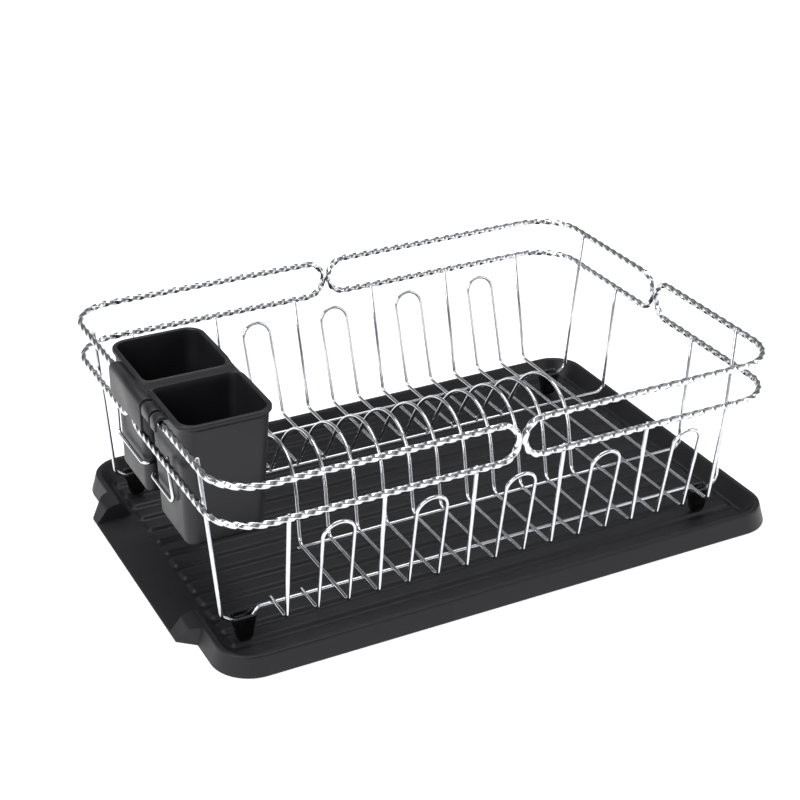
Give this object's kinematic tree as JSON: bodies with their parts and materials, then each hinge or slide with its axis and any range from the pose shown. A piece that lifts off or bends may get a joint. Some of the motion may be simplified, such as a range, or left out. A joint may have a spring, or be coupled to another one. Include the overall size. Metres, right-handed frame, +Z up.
{
  "type": "dish drying rack",
  "caption": "Chrome wire dish rack with twisted rails, plate arches and a hung twin cutlery caddy, standing in a ribbed plastic drain tray with a pouring lip.",
  "frame": {"origin": "centre of the underside of the whole object's box, on the surface it stands on", "axes": "+X along the tray's length, away from the pouring lip and the caddy; +Y to the back; +Z up"},
  "size_m": [0.468, 0.3152, 0.156],
  "materials": {
    "chrome_wire": "bright polished chrome plate",
    "tray_plastic": "charcoal moulded polypropylene, fine matte",
    "caddy_plastic": "charcoal moulded polypropylene, satin",
    "foot_plastic": "glossy black soft plastic cap"
  },
  "bodies": {
    "tray": {"drain_tray": "tray_plastic"},
    "rack": {"rail_front_left": "chrome_wire", "rail_front_right": "chrome_wire", "rail_back_left": "chrome_wire", "rail_back_right": "chrome_wire", "base_wire_outer_front": "chrome_wire", "base_wire_outer_back": "chrome_wire", "base_wire_inner_front": "chrome_wire", "base_wire_inner_back": "chrome_wire", "post_stub_front": "chrome_wire", "post_stub_back": "chrome_wire", "post_wire_1": "chrome_wire", "post_wire_2": "chrome_wire", "post_wire_3": "chrome_wire", "post_wire_4": "chrome_wire", "post_wire_5": "chrome_wire", "hoop_wire_1": "chrome_wire", "hoop_wire_2": "chrome_wire", "hoop_wire_3": "chrome_wire", "hoop_wire_4": "chrome_wire", "hoop_wire_5": "chrome_wire", "caddy_support_wire": "chrome_wire", "foot_front_left": "foot_plastic", "foot_front_right": "foot_plastic", "foot_back_left": "foot_plastic", "foot_back_right": "foot_plastic"},
    "caddy": {"cutlery_caddy": "caddy_plastic"}
  },
  "joints": [
    {"name": "rack_lift", "type": "slide", "parent": "tray", "child": "rack", "axis": [0, 0, 1], "range_m": [0, 0.1]},
    {"name": "caddy_lift", "type": "slide", "parent": "rack", "child": "caddy", "axis": [0, 0, 1], "range_m": [0, 0.12]}
  ]
}
